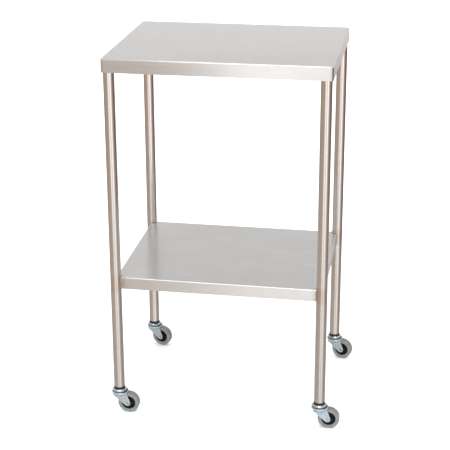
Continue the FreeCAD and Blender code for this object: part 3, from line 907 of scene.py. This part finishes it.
rubber_finish = grey_rubber()
hub_finish = black_moulding()
ribs_in = rib_tree()
for corner in CORNERS:
    wheel_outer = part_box(f"tyre_{corner}")[1].z - wheel_middle[corner].z
    core_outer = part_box(f"wheel_core_{corner}")[1].z - wheel_middle[corner].z
    tyre_high = along_axle(f"tyre_{corner}", corner)[1]
    boss_high = along_axle(f"wheel_core_{corner}", corner)[1]

    bm = bmesh.new()
    turned(bm, tyre_section(core_outer, wheel_outer, tyre_high), WHEEL_SIDES)
    tread = bm.verts.layers.float.new("tread")
    for vert in bm.verts:
        from_axle = math.hypot(vert.co.x, vert.co.y)
        vert[tread] = min(1.0, max(0.0, (from_axle - wheel_outer + 0.0022) / 0.0016))
    bmesh.ops.transform(bm, matrix=wheel_frame[corner], verts=bm.verts[:])
    finished_piece(
        f"rubber_tyre_{corner}", bm, rubber_finish, f"wheel_{corner}", [f"tyre_{corner}"]
    )

    rim_inner = core_outer - RIM_WALL
    half = [(HUB_BORE, boss_high), (HUB_BOSS, boss_high), (HUB_BOSS + 0.0003, HUB_WEB)]
    half += [(rim_inner - 0.0004, HUB_WEB), (rim_inner, HUB_RIM), (core_outer, HUB_RIM)]
    section = eased(half + [(r, -z) for r, z in reversed(half)], HUB_EASE)
    bm = bmesh.new()
    turned(bm, section, WHEEL_SIDES)
    host = bpy.data.objects.new("host", bpy.data.meshes.new("host"))
    rib_mesh = grown(
        host,
        ribs_in,
        count=RIB_COUNT,
        inner=HUB_BOSS - 0.0005,
        length=rim_inner - HUB_BOSS + 0.0008,
        height=2 * (HUB_RIM - 0.0012),
        thickness=RIB_THICKNESS,
        finish=hub_finish,
    )
    bm.from_mesh(rib_mesh)
    bpy.data.meshes.remove(rib_mesh)
    bmesh.ops.transform(bm, matrix=wheel_frame[corner], verts=bm.verts[:])
    finished_piece(
        f"moulded_hub_{corner}", bm, hub_finish, f"wheel_{corner}", [f"wheel_core_{corner}"]
    )

# ---------------------------------------------------------------------------------------------
# The floor, the studio and the camera
# A plain pale floor and one soft light. Metal mirrors a studio toned by direction, while matt
# surfaces and the background see an even white dome instead, which no real room does.
# ---------------------------------------------------------------------------------------------

scene = bpy.context.scene
scene.view_settings.view_transform = "Standard"

bm = bmesh.new()
bmesh.ops.create_grid(bm, x_segments=1, y_segments=1, size=9.0)
floor_mesh = bpy.data.meshes.new("floor")
bm.to_mesh(floor_mesh)
bm.free()
floor = bpy.data.objects.new("floor", floor_mesh)
floor.visible_glossy = False
scene.collection.objects.link(floor)
floor_finish, tree, shader, place = new_finish("pale_floor")
shader.inputs["Base Color"].default_value = (0.92, 0.92, 0.92, 1)
shader.inputs["Roughness"].default_value = 0.9
shader.inputs["Specular IOR Level"].default_value = 0.1
floor_mesh.materials.append(floor_finish)

# what stands round the table, by its bearing from the front, positive to the right
STUDIO_ROUND = (
    (-180, (1.22, 1.20, 1.18)),
    (-162, (1.12, 1.08, 1.04)),
    (-146, (0.50, 0.42, 0.36)),
    (-100, (0.47, 0.37, 0.30)),
    (-50, (0.53, 0.41, 0.33)),
    (-28, (0.58, 0.46, 0.38)),
    (-16, (0.70, 0.57, 0.47)),
    (-12.5, (0.88, 0.80, 0.74)),
    (-11, (1.08, 1.02, 0.98)),
    (-9, (1.62, 1.60, 1.58)),
    (-6.5, (1.84, 1.82, 1.80)),
    (-2, (1.56, 1.53, 1.50)),
    (7, (1.36, 1.31, 1.26)),
    (15, (1.10, 1.05, 1.01)),
    (27, (1.12, 1.07, 1.03)),
    (34, (1.95, 1.88, 1.82)),
    (42, (1.90, 1.80, 1.72)),
    (51, (1.10, 0.98, 0.92)),
    (60, (0.80, 0.67, 0.61)),
    (78, (0.36, 0.25, 0.23)),
    (108, (0.18, 0.12, 0.11)),
    (138, (0.22, 0.16, 0.15)),
    (158, (0.62, 0.58, 0.56)),
    (168, (1.16, 1.14, 1.12)),
    (180, (1.22, 1.20, 1.18)),
)
world = bpy.data.worlds.new("studio")
scene.world = world
world.use_nodes = True
tree = world.node_tree
tree.nodes.clear()
towards = tree.nodes.new("ShaderNodeTexCoord").outputs["Generated"]
parts = node_of(tree, "ShaderNodeSeparateXYZ", {0: towards})
turn = maths(tree, "ARCTAN2", parts.outputs["X"], maths(tree, "MULTIPLY", parts.outputs["Y"], -1.0))
share = maths(tree, "ADD", maths(tree, "MULTIPLY", turn, 1 / math.tau), 0.5)
ramp = node_of(tree, "ShaderNodeValToRGB", {0: share})
ramp.color_ramp.interpolation = "LINEAR"
elements = ramp.color_ramp.elements
while len(elements) > 1:
    elements.remove(elements[-1])
elements[0].position = 0.0
elements[0].color = (*[c / 2 for c in STUDIO_ROUND[0][1]], 1)
for angle, colour in STUDIO_ROUND[1:]:
    stop = elements.new((angle + 180) / 360)
    stop.color = (*[c / 2 for c in colour], 1)
rise = parts.outputs["Z"]
low_grey = between(tree, rise, -0.45, -0.28, 0.6, 0.0)
room = blended(tree, low_grey, ramp.outputs[0], (0.30, 0.285, 0.27, 1))
sideways = parts.outputs["X"]
panel = maths(
    tree,
    "MULTIPLY",
    maths(
        tree,
        "MULTIPLY",
        between(tree, sideways, -0.27, -0.18, 0.0, 1.0),
        between(tree, sideways, 0.30, 0.50, 1.0, 0.0),
    ),
    between(tree, parts.outputs["Y"], -0.35, -0.10, 1.0, 0.0),
)
overhead = blended(tree, panel, (0.47, 0.465, 0.46, 1), (1.6, 1.59, 1.57, 1))
walls = blended(
    tree, between(tree, rise, 0.25, 0.35, 0.0, 1.0), (0.515, 0.515, 0.515, 1), (0.362, 0.358, 0.354, 1)
)
room = blended(tree, between(tree, rise, -0.08, 0.10, 0.0, 1.0), room, walls)
room = blended(tree, between(tree, rise, 0.48, 0.66, 0.0, 1.0), room, overhead)
room = blended(tree, between(tree, rise, -0.90, -0.52, 1.0, 0.0), room, (0.22, 0.215, 0.21, 1))
lit = node_of(tree, "ShaderNodeBackground", {"Color": room, "Strength": 2.0})
white = node_of(tree, "ShaderNodeBackground", {"Color": (1, 1, 1, 1), "Strength": 1.8})
mirrored = tree.nodes.new("ShaderNodeLightPath").outputs["Is Glossy Ray"]
mixed = node_of(tree, "ShaderNodeMixShader", {0: mirrored, 1: white.outputs[0], 2: lit.outputs[0]})
node_of(tree, "ShaderNodeOutputWorld", {"Surface": mixed.outputs[0]})

softbox = bpy.data.lights.new("softbox", "AREA")
softbox.shape = "RECTANGLE"
softbox.size = 2.5
softbox.size_y = 2.5
softbox.energy = 20
soft_light = bpy.data.objects.new("softbox", softbox)
soft_light.location = (0.9, -1.4, 2.6)
soft_light.rotation_euler = (Vector((0, 0, 0.3)) - soft_light.location).to_track_quat("-Z", "Y").to_euler()
soft_light.visible_glossy = False
scene.collection.objects.link(soft_light)

# the camera, by its place, its turn to the left, its tilt down and its lean
CAMERA_PLACE = (0.4864, -2.8567, 1.5088)
CAMERA_YAW = -0.1811
CAMERA_PITCH = -0.3498
CAMERA_ROLL = -0.0068
FOCAL_SHARE = 2.8733
SENSOR_WIDTH = 36.0

ahead = Vector(
    (
        math.sin(CAMERA_YAW) * math.cos(CAMERA_PITCH),
        math.cos(CAMERA_YAW) * math.cos(CAMERA_PITCH),
        math.sin(CAMERA_PITCH),
    )
)
level = Vector((math.cos(CAMERA_YAW), -math.sin(CAMERA_YAW), 0))
upright = level.cross(ahead)
right = level * math.cos(CAMERA_ROLL) + upright * math.sin(CAMERA_ROLL)
above = -level * math.sin(CAMERA_ROLL) + upright * math.cos(CAMERA_ROLL)
lens = bpy.data.cameras.new("camera")
lens.sensor_width = SENSOR_WIDTH
lens.lens = SENSOR_WIDTH * FOCAL_SHARE
lens.shift_x = 0.02
lens.shift_y = -0.0289
lens.clip_end = 50.0
camera = bpy.data.objects.new("camera", lens)
camera.matrix_world = Matrix(
    (
        (right.x, above.x, -ahead.x, CAMERA_PLACE[0]),
        (right.y, above.y, -ahead.y, CAMERA_PLACE[1]),
        (right.z, above.z, -ahead.z, CAMERA_PLACE[2]),
        (0, 0, 0, 1),
    )
)
scene.collection.objects.link(camera)
scene.camera = camera
